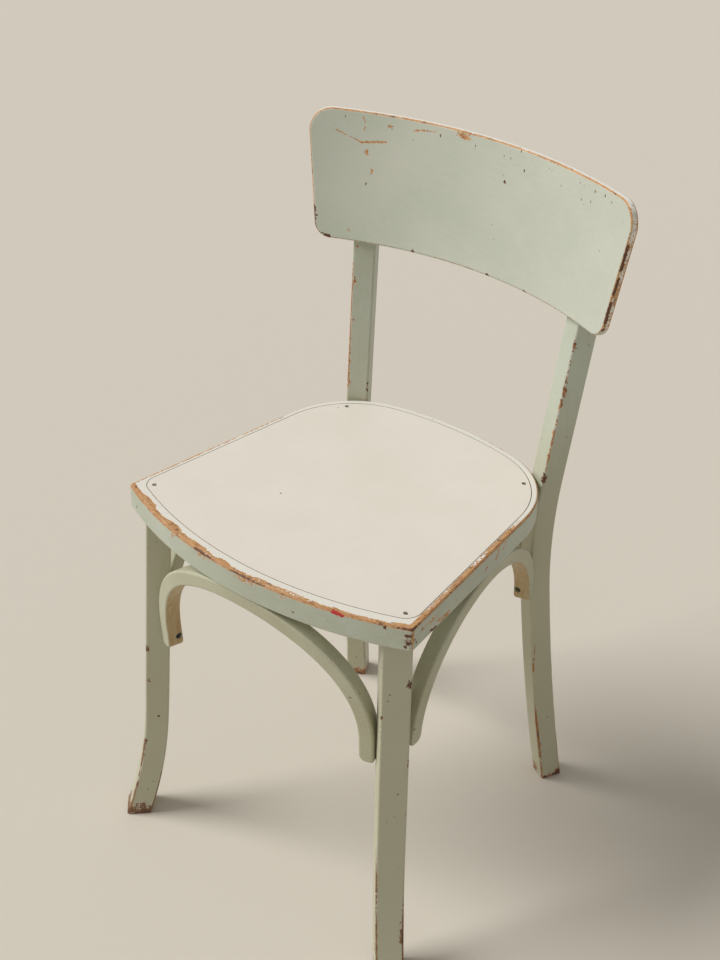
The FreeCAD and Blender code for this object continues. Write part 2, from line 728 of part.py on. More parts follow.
def arch_end_screws():
    """One screw through each limb of the right-hand arches, towards the centre of its support."""
    leg_end, post_end = side_arch_ends()
    front_end, rear_end = front_arch_end(), rear_arch_end()
    chord = unit(flat(post_end - leg_end))
    places = [(front_end, leg_centre(front_end.z), RIGHT), (leg_end, leg_centre(leg_end.z), -chord),
              (post_end, post_centre(post_end.z), chord), (rear_end, post_centre(rear_end.z), RIGHT)]
    screws = []
    for end, support_centre, limb_direction in places:
        direction = unit(support_centre - end + limb_direction * ARCH_THICKNESS)
        steep = direction.dot(limb_direction)
        surface = end - direction * (ARCH_THICKNESS / steep)
        screws.append(sunk(surface, direction, ARCH_END_SCREW_LENGTH))
    return screws


def crown_screws(middle, chord):
    """Two screws up through an arch's crown, either side of its middle."""
    height = RING_UNDERSIDE + ARCH_CROWN_PLANED - ARCH_THICKNESS
    return [sunk(middle + chord * side * CROWN_SCREW_OFFSET + UP * height, UP, CROWN_SCREW_LENGTH)
            for side in (-1, 1)]


def all_crown_screws():
    leg_end, post_end = side_arch_ends()
    chord = unit(flat(post_end - leg_end))
    sides = pair(crown_screws(side_crown(), chord))
    return crown_screws(front_crown(), RIGHT) + sides + crown_screws(rear_crown(), RIGHT)


def post_ring_screw():
    """From the post's back through the post into the ring's rear corner."""
    height = RING_UNDERSIDE + RING_THICKNESS / 2
    centre = post_centre(height)
    corner = rear_corner_arc(0, 0)[1] + UP * height
    direction = unit(corner - centre)
    slope = -direction.dot(post_directions()[0])
    return sunk(centre - direction * (POST_DEPTH / 2 / slope), direction, POST_SCREW_LENGTH)


def board_screws():
    """Two from the right post's back into the board."""
    lean = math.radians(POST_LEAN)
    back = post_directions()[0]
    forward = UP * math.sin(lean) - back * math.cos(lean)
    screws = []
    for height in BOARD_SCREW_HEIGHTS:
        centre = post_centre(BOARD_BOTTOM_HEIGHT + height)
        screws.append(sunk(centre - forward * (POST_DEPTH / 2), forward, BOARD_SCREW_LENGTH))
    return screws


def nail(x, y):
    """A round-headed nail through the panel into the ring's ledge."""
    head = NAIL_HEAD_DIAMETER / 2
    top = SEAT_HEIGHT - NAIL_SINK
    radius = (head ** 2 + NAIL_HEAD_HEIGHT ** 2) / (2 * NAIL_HEAD_HEIGHT)
    ball = Part.makeSphere(radius, V(x, y, top - radius))
    shank = Part.makeCylinder(NAIL_SHANK_DIAMETER / 2, NAIL_LENGTH - NAIL_HEAD_HEIGHT,
                              V(x, y, top - NAIL_LENGTH))
    return ball.common(slab(top - NAIL_HEAD_HEIGHT, BIG)).fuse(shank).removeSplitter()


def nail_hole(x, y):
    """The shank's bore and the recess that the head is sunk in."""
    top = SEAT_HEIGHT - NAIL_SINK
    bore = Part.makeCylinder(NAIL_SHANK_DIAMETER / 2, NAIL_LENGTH, V(x, y, top - NAIL_LENGTH))
    recess = Part.makeCylinder(NAIL_HEAD_DIAMETER / 2 + NAIL_HEAD_CLEARANCE, BIG,
                               V(x, y, top - NAIL_HEAD_HEIGHT))
    return bore.fuse(recess)


def mirrored_screw(data):
    head_point, direction, length = data
    return mirrored(head_point), mirrored(direction), length


def pair(screws):
    return screws + [mirrored_screw(data) for data in screws]


def drilled(piece, screws):
    for data in screws:
        piece = piece.cut(screw_hole(*data))
    return piece


# The whole chair

def chair():
    """Every piece by its node name."""
    end_screws = pair(arch_end_screws())
    crown_screw_set = all_crown_screws()
    ring_screws = pair([post_ring_screw()])
    back_screws = pair(board_screws())
    nail_places = [(side * x, y) for x, y in (NAIL_FRONT, NAIL_REAR) for side in (-1, 1)]
    nails = [nail(x, y) for x, y in nail_places]

    board = backrest_board()
    right_leg = front_leg()
    right_post = rear_post().cut(board)
    legs = {"right": right_leg, "left": mirror_shape(right_leg)}
    posts = {"right": right_post, "left": mirror_shape(right_post)}
    supports = list(legs.values()) + list(posts.values())

    right_arch = side_arch()
    arches = {"front": front_arch(), "right": right_arch, "left": mirror_shape(right_arch),
              "rear": rear_arch()}

    ring = seat_ring()
    socket = tenon(TENON_CLEARANCE, TENON_LENGTH + TENON_END_GAP)
    ring = ring.cut(socket).cut(mirror_shape(socket))
    ring = drilled(ring, crown_screw_set + ring_screws)
    panel = seat_panel()
    for x, y in nail_places:
        ring = ring.cut(nail_hole(x, y))
        panel = panel.cut(nail_hole(x, y))
    lap = front_lap()

    pieces = {
        "seat_front_rail": ring.common(lap),
        "seat_bent_rail": ring.cut(lap),
        "seat_panel": panel,
        "seat_panel_nails": Part.makeCompound(nails),
        "backrest_board": drilled(board, back_screws),
    }
    for name, leg in legs.items():
        pieces["front_leg_" + name] = drilled(leg, end_screws)
    for name, post in posts.items():
        pieces["rear_post_" + name] = drilled(post, end_screws + ring_screws + back_screws)
    for name, arch in arches.items():
        for support in supports:
            arch = arch.cut(support)
        pieces[name + "_arch"] = drilled(arch, end_screws + crown_screw_set)
    groups = {"arch_end_screws": end_screws, "arch_crown_screws": crown_screw_set,
              "post_ring_screws": ring_screws, "backrest_screws": back_screws}
    for name, screws in groups.items():
        pieces[name] = Part.makeCompound([screw(*data) for data in screws])
    return pieces


def main():
    os.makedirs("parts", exist_ok=True)
    pieces = {name: shape.copy() for name, shape in chair().items()}
    for shape in pieces.values():
        shape.Placement = standing().multiply(shape.Placement)
    extent = Part.makeCompound(list(pieces.values())).optimalBoundingBox(False)
    shift = V(0, -(extent.YMin + extent.YMax) / 2, 0)
    for name, shape in pieces.items():
        shape.translate(shift)
        print(name, len(shape.Solids), shape.isValid(), round(shape.Volume))
        shape.exportStep("parts/" + name + ".step")
    print("extent", extent, "shift", shift)


main()
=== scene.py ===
import math

import bmesh
import bpy
from mathutils import Matrix, Vector

# A worn, mint-painted bentwood side chair with a cream seat panel, in metres, +Z up.
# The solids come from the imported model; here they get their paint, their wear and their
# bare wood, and the chair is set on a pale floor under soft light.

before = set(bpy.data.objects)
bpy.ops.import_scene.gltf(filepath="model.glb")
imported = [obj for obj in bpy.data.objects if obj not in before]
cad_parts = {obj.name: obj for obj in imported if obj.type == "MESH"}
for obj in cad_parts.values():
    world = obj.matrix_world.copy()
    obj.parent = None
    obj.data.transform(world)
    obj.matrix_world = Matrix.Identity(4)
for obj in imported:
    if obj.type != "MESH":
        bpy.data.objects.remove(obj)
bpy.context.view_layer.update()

# Paint and wood colours, as red, green, blue out of 255
MINT = (188, 194, 177)
MINT_PALE = (199, 201, 187)
MINT_SHADE = (173, 177, 158)
# The arches' mint with painted warm bounce light and painted shade from under the seat
MINT_WITH_WARM_BOUNCE = (187, 188, 163)
MINT_SHADE_WITH_WARM_BOUNCE = (174, 171, 143)
# Painted warm bounce light and shade: a warmer, duller mint for the legs and posts below the seat
PAINTED_WARM_BOUNCE = (184, 180, 152)
RING_TOP = (228, 223, 211)
PANEL_CREAM = (230, 222, 209)
PANEL_SHADE = (225, 217, 203)
UNDERCOAT = (236, 231, 220)
BARE_LIGHT = (206, 162, 110)
BARE_DARK = (164, 108, 62)
BARE_OLD = (96, 60, 37)
FOOT_LIGHT = (146, 108, 72)
FOOT_DARK = (96, 68, 46)
POST_LIGHT = (184, 132, 84)
POST_DARK = (130, 84, 50)
LIMB_TAN = (180, 162, 120)
LIMB_ORANGE = (172, 136, 88)
SCREW_DARK = (15, 13, 12)
NAIL_DARK = (88, 72, 55)
SPOT_RED = (176, 30, 22)
FLOOR_PALE = (212, 204, 190)

# Directions of flat faces, and stretches that draw a pattern out along the wood's grain
AXIS_UP = (0.0, 0.0, 1.0)
LEG_SIDE = (0.69466, 0.71934, 0.0)
POST_SIDE = (0.88295, -0.46947, 0.0)
SIDE_ARCH_OUT = (0.9931, 0.109, -0.045)
GRAIN_UPRIGHT = (1.0, 1.0, 0.1)
GRAIN_ACROSS = (0.1, 1.0, 1.0)
GRAIN_ALONG = (1.0, 0.1, 1.0)

# Stretches of marks and specks: the same all round, or drawn out in height
EVEN = (1, 1, 1)
STREAKED = (1.3, 1.3, 0.5)

# The seat ring's outline in plan: the front bow, and a corner and the direction of its right side
FRONT_BOW_RADIUS = 0.47
FRONT_BOW_CENTRE = (0.0, 0.2588, 0.0)
RIGHT_CORNER = (0.1975, -0.1675, 0.0)
SEAT_SIDE_OUT = (0.99276, 0.12013, 0.0)

# The board's axis, leaning back with it
BOARD_AXIS_POINT = (0.0, -0.2395, 0.8013)
BOARD_AXIS = (0.0, 0.1676, 0.98585)

# The axes of the arches that are bowed in plan, and a point inside each arch
FRONT_ARCH_AXIS = (0.0, 0.2537, 0.0)
REAR_ARCH_AXIS = (0.0, -1.2346, 0.0)
INSIDE_FRONT_ARCH = (0.0, -0.163, 0.302)
INSIDE_REAR_ARCH = (0.0, 0.167, 0.292)
INSIDE_RIGHT_ARCH = (0.17, 0.027, 0.296)


# Small helpers for node trees

VECTOR = "NodeSocketVector"
FLOAT = "NodeSocketFloat"
COLOUR = "NodeSocketColor"
POSITION = ("Position", VECTOR, (0, 0, 0))

# The sockets that a Mix node has for colours
MIX_FACTOR, MIX_FIRST, MIX_SECOND = 0, 6, 7
MIX_RESULT = 2


def colour(rgb):
    """The scene-linear colour of a paint chip given out of 255."""
    parts = [value / 255 for value in rgb]
    linear = [part / 12.92 if part <= 0.04045 else ((part + 0.055) / 1.055) ** 2.4
              for part in parts]
    return (*linear, 1.0)


def mirrored_x(vector):
    return (-vector[0], vector[1], vector[2])


def plug(tree, socket, value):
    """Joins a socket to another one, or sets it to a plain value."""
    if isinstance(value, bpy.types.NodeSocket):
        tree.links.new(value, socket)
    else:
        socket.default_value = value


def calculate(tree, operation, *values, clamp=False):
    node = tree.nodes.new("ShaderNodeMath")
    node.operation = operation
    node.use_clamp = clamp
    for socket, value in zip(node.inputs, values):
        plug(tree, socket, value)
    return node.outputs[0]


def vector_math(tree, operation, *values):
    node = tree.nodes.new("ShaderNodeVectorMath")
    node.operation = operation
    for socket, value in zip(node.inputs, values):
        plug(tree, socket, value)
    return node.outputs["Value" if operation in ("DOT_PRODUCT", "DISTANCE") else "Vector"]


def scaled(tree, vector, factor):
    node = tree.nodes.new("ShaderNodeVectorMath")
    node.operation = "SCALE"
    plug(tree, node.inputs[0], vector)
    plug(tree, node.inputs["Scale"], factor)
    return node.outputs["Vector"]


def split(tree, vector):
    parts = tree.nodes.new("ShaderNodeSeparateXYZ")
    plug(tree, parts.inputs[0], vector)
    return parts.outputs


def ramp(tree, value, low, high, to_low=0.0, to_high=1.0):
    """A smooth step from low to high."""
    node = tree.nodes.new("ShaderNodeMapRange")
    node.interpolation_type = "SMOOTHSTEP"
    for label, setting in (("Value", value), ("From Min", low), ("From Max", high),
                           ("To Min", to_low), ("To Max", to_high)):
        plug(tree, node.inputs[label], setting)
    return node.outputs["Result"]


def mix_colour(tree, factor, first, second):
    node = tree.nodes.new("ShaderNodeMix")
    node.data_type = "RGBA"
    for index, value in ((MIX_FACTOR, factor), (MIX_FIRST, first), (MIX_SECOND, second)):
        plug(tree, node.inputs[index], value)
    return node.outputs[MIX_RESULT]


def noise(tree, place, scale, detail=3.0, roughness=0.55):
    """An even pattern about 0.5, with about scale waves in a metre."""
    node = tree.nodes.new("ShaderNodeTexNoise")
    for label, value in (("Vector", place), ("Scale", scale), ("Detail", detail),
                         ("Roughness", roughness)):
        plug(tree, node.inputs[label], value)
    return node.outputs["Fac"]


def bumps(tree, surface, height, strength, depth):
    """Raises and sinks the surface by a pattern, by up to depth metres."""
    node = tree.nodes.new("ShaderNodeBump")
    node.inputs["Strength"].default_value = strength
    node.inputs["Distance"].default_value = depth
    plug(tree, node.inputs["Height"], height)
    plug(tree, surface.inputs["Normal"], node.outputs[0])


def new_group(name, inputs, outputs):
    """A shader node group with these sockets, and its two end nodes."""
    tree = bpy.data.node_groups.new(name, "ShaderNodeTree")
    for label, kind, value in inputs:
        socket = tree.interface.new_socket(label, in_out="INPUT", socket_type=kind)
        socket.default_value = value
    for label, kind in outputs:
        tree.interface.new_socket(label, in_out="OUTPUT", socket_type=kind)
    given = tree.nodes.new("NodeGroupInput").outputs
    return tree, given, tree.nodes.new("NodeGroupOutput").inputs


def place_group(tree, group, **values):
    """A copy of a group in a material, its inputs named with _ for a space."""
    node = tree.nodes.new("ShaderNodeGroup")
    node.node_tree = group
    for label, value in values.items():
        plug(tree, node.inputs[label.replace("_", " ")], value)
    return node.outputs


# Effects shared by the materials. A pattern's size is given in waves or cells to the metre, and a
# pair of values is where a smooth step begins and ends.

# The cosine between a surface and a face's direction: it leaves 0 on the side next to the face,
# and reaches 1 on the face
LEAVES_SIDE = (0.14, 0.5)
REACHES_FACE = (0.985, 0.88)


def arris_group():
    """How near a surface's direction is to halfway between a flat face and its neighbour."""
    tree, given, out = new_group(
        "arris", [("Normal", VECTOR, AXIS_UP), ("Face Axis", VECTOR, AXIS_UP)], [("Arris", FLOAT)])
    lean = vector_math(tree, "DOT_PRODUCT", given["Normal"], given["Face Axis"])
    lean = calculate(tree, "ABSOLUTE", lean)
    leaving = ramp(tree, lean, *LEAVES_SIDE)
    arriving = ramp(tree, lean, *REACHES_FACE)
    plug(tree, out["Arris"], calculate(tree, "MULTIPLY", leaving, arriving))
    return tree


WOOD_STREAKS = 900.0
WOOD_STAINS = 95.0
DARK_STREAKS = (0.35, 0.68)
OLD_STAINS = (0.56, 0.72)


def grain_group():
    """Bare wood: long streaks of light and dark along the grain, with old stains."""
    tree, given, out = new_group(
        "bare wood", [POSITION, ("Grain", VECTOR, GRAIN_UPRIGHT), ("Light", COLOUR, colour(BARE_LIGHT)),
                      ("Dark", COLOUR, colour(BARE_DARK)), ("Old", COLOUR, colour(BARE_OLD))],
        [("Color", COLOUR)])
    along = vector_math(tree, "MULTIPLY", given["Position"], given["Grain"])
    streaks = noise(tree, along, WOOD_STREAKS, detail=4.0, roughness=0.65)
    stains = noise(tree, given["Position"], WOOD_STAINS, roughness=0.6)
    wood = mix_colour(tree, ramp(tree, streaks, *DARK_STREAKS), given["Light"], given["Dark"])
    wood = mix_colour(tree, ramp(tree, stains, *OLD_STAINS), wood, given["Old"])
    plug(tree, out["Color"], wood)
    return tree


BRUSH_STREAKS = 420.0
PAINT_CLOUDS = 11.0
PAINT_GRIT = 700.0
STREAK_SHARE = 0.35
GRIT_SHARE = 0.3
TONE_RANGE = (0.3, 0.7)


def brushed_group():
    """Brush-laid paint: a slow change of tone and fine streaks that catch the light."""
    tree, given, out = new_group(
        "brushed paint", [POSITION, ("Grain", VECTOR, GRAIN_UPRIGHT)],
        [("Tone", FLOAT), ("Height", FLOAT)])
    along = vector_math(tree, "MULTIPLY", given["Position"], given["Grain"])
    streaks = noise(tree, along, BRUSH_STREAKS, roughness=0.6)
    clouds = calculate(tree, "MULTIPLY", noise(tree, given["Position"], PAINT_CLOUDS), 1 - STREAK_SHARE)
    tone = calculate(tree, "MULTIPLY_ADD", streaks, STREAK_SHARE, clouds)
    plug(tree, out["Tone"], ramp(tree, tone, *TONE_RANGE))
    grit = noise(tree, given["Position"], PAINT_GRIT, detail=2.0)
    plug(tree, out["Height"], calculate(tree, "MULTIPLY_ADD", grit, GRIT_SHARE, streaks))
    return tree


# The unevenness and wear together at which each coat gives way. SOUND_PAINT is taken off the
# unevenness first, so that paint without wear stays whole.
TOP_COAT_GOES = (0.34, 0.37)
UNDERCOAT_GOES = (0.36, 0.39)
SOUND_PAINT = 0.7
PAINT_CHIPS = 470.0
CHIP_SHARE = 0.9
WORN_PATCHES = 38.0
PATCH_SHARE = 0.5
UNDERCOAT_FLAKES = 520.0
FLAKE_LEAST = 0.35


def paint_loss_group():
    """Where the top coat and then the undercoat have gone."""
    tree, given, out = new_group(
        "paint loss", [POSITION, ("Arris", FLOAT, 0.0), ("Arris Wear", FLOAT, 0.5), ("Wear", FLOAT, 0.0),
                       ("Undercoat Rim", FLOAT, 0.06)],
        [("Top Lost", FLOAT), ("Bare", FLOAT)])
    chips = noise(tree, given["Position"], PAINT_CHIPS, detail=4.0, roughness=0.62)
    patches = noise(tree, given["Position"], WORN_PATCHES, detail=2.0, roughness=0.5)
    uneven = calculate(tree, "MULTIPLY_ADD", chips, CHIP_SHARE,
                       calculate(tree, "MULTIPLY", patches, PATCH_SHARE))
    worn = calculate(tree, "MULTIPLY_ADD", given["Arris"], given["Arris Wear"], given["Wear"])
    total = calculate(tree, "ADD", calculate(tree, "SUBTRACT", uneven, SOUND_PAINT), worn)
    plug(tree, out["Top Lost"], ramp(tree, total, *TOP_COAT_GOES))
    flakes = noise(tree, given["Position"], UNDERCOAT_FLAKES, roughness=0.6)
    rim = calculate(tree, "MULTIPLY", calculate(tree, "ADD", flakes, FLAKE_LEAST),
                    given["Undercoat Rim"])
    deeper = calculate(tree, "SUBTRACT", total, rim)
    plug(tree, out["Bare"], ramp(tree, deeper, *UNDERCOAT_GOES))
    return tree


# Specks lie in cells; their radius and soft edge are shares of a cell
SPECK_CELLS = 150.0
SPECK_RADIUS = 0.12
SPECK_RADIUS_SPREAD = 0.13
SPECK_EDGE = 0.03
SPECK_WOBBLE = 1100.0
WOBBLE_SHARE = 0.2
SPECK_GATHERINGS = 19.0
GATHERED = (0.42, 0.7)


def specks_group():
    """Small dark specks, scattered in some places and missing in others."""
    tree, given, out = new_group(
        "specks", [POSITION, ("Amount", FLOAT, 0.3), ("Everywhere", FLOAT, 0.0)], [("Specks", FLOAT)])
    cells = tree.nodes.new("ShaderNodeTexVoronoi")
    plug(tree, cells.inputs["Vector"], given["Position"])
    plug(tree, cells.inputs["Scale"], SPECK_CELLS)
    wobble = noise(tree, given["Position"], SPECK_WOBBLE, detail=2.0)
    away = calculate(tree, "MULTIPLY_ADD", wobble, WOBBLE_SHARE, cells.outputs["Distance"])
    lot = split(tree, cells.outputs["Color"])
    gatherings = noise(tree, given["Position"], SPECK_GATHERINGS, detail=2.0)
    gathered = calculate(tree, "ADD", ramp(tree, gatherings, *GATHERED), given["Everywhere"])
    chance = calculate(tree, "MULTIPLY", gathered, given["Amount"])
    drawn = calculate(tree, "LESS_THAN", lot["X"], chance)
    radius = calculate(tree, "MULTIPLY_ADD", lot["Y"], SPECK_RADIUS_SPREAD, SPECK_RADIUS)
    dot = ramp(tree, calculate(tree, "SUBTRACT", away, radius), SPECK_EDGE, 0.0)
    plug(tree, out["Specks"], calculate(tree, "MULTIPLY", dot, drawn))
    return tree


RAGGED_WAVES = 330.0
RAGGED_SPAN = 2.2
RAGGED_SHIFT = -0.1


def ragged(tree, position):
    """A value about 1 that wavers, for the edge of a worn mark."""
    waves = noise(tree, position, RAGGED_WAVES, roughness=0.6)
    return calculate(tree, "MULTIPLY_ADD", waves, RAGGED_SPAN, RAGGED_SHIFT)


def worn_place_group():
    """Full at one point, and nothing beyond a ragged edge at about its reach."""
    tree, given, out = new_group(
        "worn place", [POSITION, ("Centre", VECTOR, (0, 0, 0)), ("Stretch", VECTOR, EVEN),
                       ("Reach", FLOAT, 0.01)],
        [("Place", FLOAT)])
    away = vector_math(tree, "SUBTRACT", given["Position"], given["Centre"])
    away = vector_math(tree, "MULTIPLY", away, given["Stretch"])
    distance = vector_math(tree, "DISTANCE", away, (0, 0, 0))
    share = calculate(tree, "DIVIDE", distance, given["Reach"])
    edge = ragged(tree, given["Position"])
    plug(tree, out["Place"], calculate(tree, "SUBTRACT", edge, share, clamp=True))
    return tree


def worn_line_group():
    """Full along a straight line, and nothing beyond a ragged edge at about its reach."""
    tree, given, out = new_group(
        "worn line", [POSITION, ("Start", VECTOR, (0, 0, 0)), ("End", VECTOR, AXIS_UP),
                      ("Reach", FLOAT, 0.003)],
        [("Place", FLOAT)])
    run = vector_math(tree, "SUBTRACT", given["End"], given["Start"])
    away = vector_math(tree, "SUBTRACT", given["Position"], given["Start"])
    along = calculate(tree, "DIVIDE", vector_math(tree, "DOT_PRODUCT", away, run),
                      vector_math(tree, "DOT_PRODUCT", run, run), clamp=True)
    distance = vector_math(tree, "DISTANCE", away, scaled(tree, run, along))
    share = calculate(tree, "DIVIDE", distance, given["Reach"])
    edge = ragged(tree, given["Position"])
    plug(tree, out["Place"], calculate(tree, "SUBTRACT", edge, share, clamp=True))
    return tree


ARRIS = arris_group()
GRAIN = grain_group()
BRUSHED = brushed_group()
PAINT_LOSS = paint_loss_group()
SPECKS = specks_group()
WORN_PLACE = worn_place_group()
WORN_LINE = worn_line_group()


# Materials

def new_material(name):
    """A material's tree, its surface shader, and the position and normal over the piece."""
    material = bpy.data.materials.new(name)
    material.use_nodes = True
    tree = material.node_tree
    surface = tree.nodes["Principled BSDF"]
    place = tree.nodes.new("ShaderNodeTexCoord").outputs
    return material, tree, surface, place["Object"], place["Normal"]


def dress(node, material):
    """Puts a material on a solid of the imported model."""
    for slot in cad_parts[node].material_slots:
        slot.material = material


def round_axis(point, direction=AXIS_UP):
    """A function that gives paint the direction straight away from the axis through a point."""
    def away_from_axis(tree, position):
        away = vector_math(tree, "SUBTRACT", position, point)
        along = scaled(tree, direction, vector_math(tree, "DOT_PRODUCT", away, direction))
        return vector_math(tree, "NORMALIZE", vector_math(tree, "SUBTRACT", away, along))
    return away_from_axis


# A mark of this strength or more has bared old, dark wood, and so has wear over DEEP_WEAR
DARK_STRENGTH = 1.0
DARK_EDGE = 0.2
DEEP_WEAR = 0.8
DEEP_WEAR_EDGE = 0.15


def worn_marks(tree, position, places, lines):
    """How worn each point is by the worn places and lines, and where they are old and dark."""
    marks = [(place_group(tree, WORN_PLACE, Position=position, Centre=centre, Reach=reach,
                          Stretch=stretch), strength)
             for centre, reach, strength, stretch in places]
    marks += [(place_group(tree, WORN_LINE, Position=position, Start=start, End=end, Reach=reach),
               strength)
              for start, end, reach, strength in lines]
    worn, dark = 0.0, 0.0
    for mark, strength in marks:
        worn = calculate(tree, "MAXIMUM", calculate(tree, "MULTIPLY", mark["Place"], strength), worn)
        if strength >= DARK_STRENGTH:
            dark = calculate(tree, "MAXIMUM", mark["Place"], dark)
    return worn, dark


# Satin paint, rougher where it has gone. The coat is 1 high, and each layer lost is a step down.
SATIN_ROUGHNESS = 0.42
WORN_ROUGHER = 0.22
COAT_HEIGHT = 1.0
BRUSH_RELIEF = 0.12
LAYER_STEP = 0.5
PAINT_BUMP = 0.6
PAINT_DEPTH = 0.0004


def paint(name, axis, grain, arris_wear, wear=0.0, places=(), lines=(), top=MINT, shade=MINT_SHADE,
          rim=0.06, speck_amount=0.3, specks_everywhere=0.0, speck_stretch=EVEN, region=None,
          second=None, spot=None, bare=(BARE_LIGHT, BARE_DARK)):
    """Worn satin paint over undercoat over bare wood.

    axis is a face direction, or a function that gives one from the tree and position. rim, the
    width of undercoat left round bare wood, and speck_amount can be functions too, and
    specks_everywhere lets specks lie between their gatherings. region gives more wear over part
    of the piece, second another paint over part of it, and spot a dab of colour on top of it
    all."""
    material, tree, surface, position, normal = new_material(name)
    face_axis = axis(tree, position) if callable(axis) else axis
    arris = place_group(tree, ARRIS, Normal=normal, Face_Axis=face_axis)["Arris"]
    brushed = place_group(tree, BRUSHED, Position=position, Grain=grain)
    coat = mix_colour(tree, brushed["Tone"], colour(shade), colour(top))
    if second:
        mask, other = second(tree, position, normal)
        coat = mix_colour(tree, mask, coat, other)

    marks, dark = worn_marks(tree, position, places, lines)
    extra = calculate(tree, "ADD", marks, wear)
    if region:
        extra = calculate(tree, "ADD", extra, region(tree, position, normal, arris))
    rim = rim(tree, normal) if callable(rim) else rim
    lost = place_group(tree, PAINT_LOSS, Position=position, Arris=arris, Arris_Wear=arris_wear,
                       Wear=extra, Undercoat_Rim=rim)
    amount = speck_amount(tree, position) if callable(speck_amount) else speck_amount
    speck_place = vector_math(tree, "MULTIPLY", position, speck_stretch)
    specks = place_group(tree, SPECKS, Position=speck_place, Amount=amount,
                         Everywhere=specks_everywhere)["Specks"]

    light_wood, dark_wood = bare
    wood = place_group(tree, GRAIN, Position=position, Grain=grain, Light=colour(light_wood),
                       Dark=colour(dark_wood))
    old = calculate(tree, "MAXIMUM", ramp(tree, extra, DEEP_WEAR, DEEP_WEAR + DEEP_WEAR_EDGE),
                    ramp(tree, dark, 0.0, DARK_EDGE))
    timber = mix_colour(tree, old, wood["Color"], colour(BARE_OLD))
    finish = mix_colour(tree, lost["Top Lost"], coat, colour(UNDERCOAT))
    finish = mix_colour(tree, lost["Bare"], finish, timber)
    finish = mix_colour(tree, specks, finish, colour(BARE_OLD))
    if spot:
        mask, dab = spot(tree, position)
        finish = mix_colour(tree, mask, finish, dab)
    plug(tree, surface.inputs["Base Color"], finish)

    gone = calculate(tree, "MAXIMUM", lost["Top Lost"], specks)
    plug(tree, surface.inputs["Roughness"],
         calculate(tree, "MULTIPLY_ADD", gone, WORN_ROUGHER, SATIN_ROUGHNESS))
    height = calculate(tree, "MULTIPLY_ADD", brushed["Height"], BRUSH_RELIEF, COAT_HEIGHT)
    height = calculate(tree, "SUBTRACT", height, calculate(tree, "MULTIPLY", gone, LAYER_STEP))
    height = calculate(tree, "SUBTRACT", height, calculate(tree, "MULTIPLY", lost["Bare"], LAYER_STEP))
    bumps(tree, surface, height, PAINT_BUMP, PAINT_DEPTH)
    return material


# The seat ring. A facing is the surface's own direction upwards, 0 when upright and 1 when level.

CREAM_FACING = (0.55, 0.85)
RIM_FACING = (0.35, 0.8)
RED_SPOT = ((0.1185, -0.1951, 0.4670), (0.1290, -0.1932, 0.4655))
RED_REACH = 0.003
RED_EDGE = (0.36, 0.44)


def ring_paint(tree, position, normal):
    """The ring's upper face has the panel's off-white over the mint."""
    cream = ramp(tree, split(tree, normal)["Z"], *CREAM_FACING)
    return cream, mix_colour(tree, cream, colour(MINT), colour(RING_TOP))


def red_spot(tree, position):
    """One dab of red paint at the front rail's rim."""
    start, end = RED_SPOT
    red = place_group(tree, WORN_LINE, Position=position, Start=start, End=end, Reach=RED_REACH)
    return ramp(tree, red["Place"], *RED_EDGE), colour(SPOT_RED)


def ring_rim(tree, normal):
    """Much undercoat is left among the chips on the ring's top, and little on its sides."""
    side_rim, top_rim = 0.02, 0.13
    return ramp(tree, split(tree, normal)["Z"], *RIM_FACING, side_rim, top_rim)


# How far in from its outer edge the ring's top is worn. The front is worn further in patches and
# at its left part, and the right side is worn further than the left one.
FRONT_WORN = 0.0042
FRONT_PATCHES = 26.0
FRONT_PATCH_FURTHER = 0.0032
FRONT_LEFT_FURTHER = 0.0018
FRONT_WEAR = 0.6
LEFT_SIDE_WORN = 0.0056
RIGHT_SIDE_WORN = 0.0078
SIDE_WEAR = 0.55
SIDE_WEAR_ENDS = (0.1, 0.04)
PATCHES_SEEN = (0.42, 0.62)
LEFT_PART = (-0.02, -0.11)
MIDDLE_PART = (-0.05, 0.05)
FRONT_EDGE = (-0.003, 0.001)
SIDE_EDGE = (0.0, 0.0022)
RING_TOP_FACING = (0.05, 0.4)


def ring_region(tree, position, normal, arris):
    """Most wear along the rim at the seat's front and right side, where people slide off it."""
    parts = split(tree, position)
    plan = vector_math(tree, "MULTIPLY", position, (1, 1, 0))
    from_bow = calculate(tree, "SUBTRACT", FRONT_BOW_RADIUS,
                         vector_math(tree, "DISTANCE", plan, FRONT_BOW_CENTRE))
    patches = ramp(tree, noise(tree, position, FRONT_PATCHES, detail=2.0), *PATCHES_SEEN,
                   0.0, FRONT_PATCH_FURTHER)
    left_part = ramp(tree, parts["X"], *LEFT_PART, 0.0, FRONT_LEFT_FURTHER)
    reach = calculate(tree, "ADD", calculate(tree, "ADD", patches, left_part), FRONT_WORN)
    front_worn = ramp(tree, calculate(tree, "SUBTRACT", reach, from_bow), *FRONT_EDGE, 0.0, FRONT_WEAR)

    folded = vector_math(tree, "MULTIPLY_ADD", vector_math(tree, "ABSOLUTE", plan), (1, 0, 0),
                         vector_math(tree, "MULTIPLY", plan, (0, 1, 0)))
    from_side = vector_math(tree, "DOT_PRODUCT", vector_math(tree, "SUBTRACT", RIGHT_CORNER, folded),
                            SEAT_SIDE_OUT)
    reach = ramp(tree, parts["X"], *MIDDLE_PART, LEFT_SIDE_WORN, RIGHT_SIDE_WORN)
    side_worn = ramp(tree, calculate(tree, "SUBTRACT", reach, from_side), *SIDE_EDGE, 0.0, SIDE_WEAR)
    side_worn = calculate(tree, "MULTIPLY", side_worn, ramp(tree, parts["Y"], *SIDE_WEAR_ENDS))

    worn = calculate(tree, "MAXIMUM", front_worn, side_worn)
    arris_alone, arris_in_wear = 0.3, 0.24
    on_arris = ramp(tree, worn, 0.0, 0.2, arris_alone, arris_in_wear)
    rubbed = calculate(tree, "MULTIPLY_ADD", arris, on_arris, worn)
    upward = ramp(tree, split(tree, normal)["Z"], *RING_TOP_FACING)
    return calculate(tree, "MULTIPLY", rubbed, upward)


# The arches, legs and posts

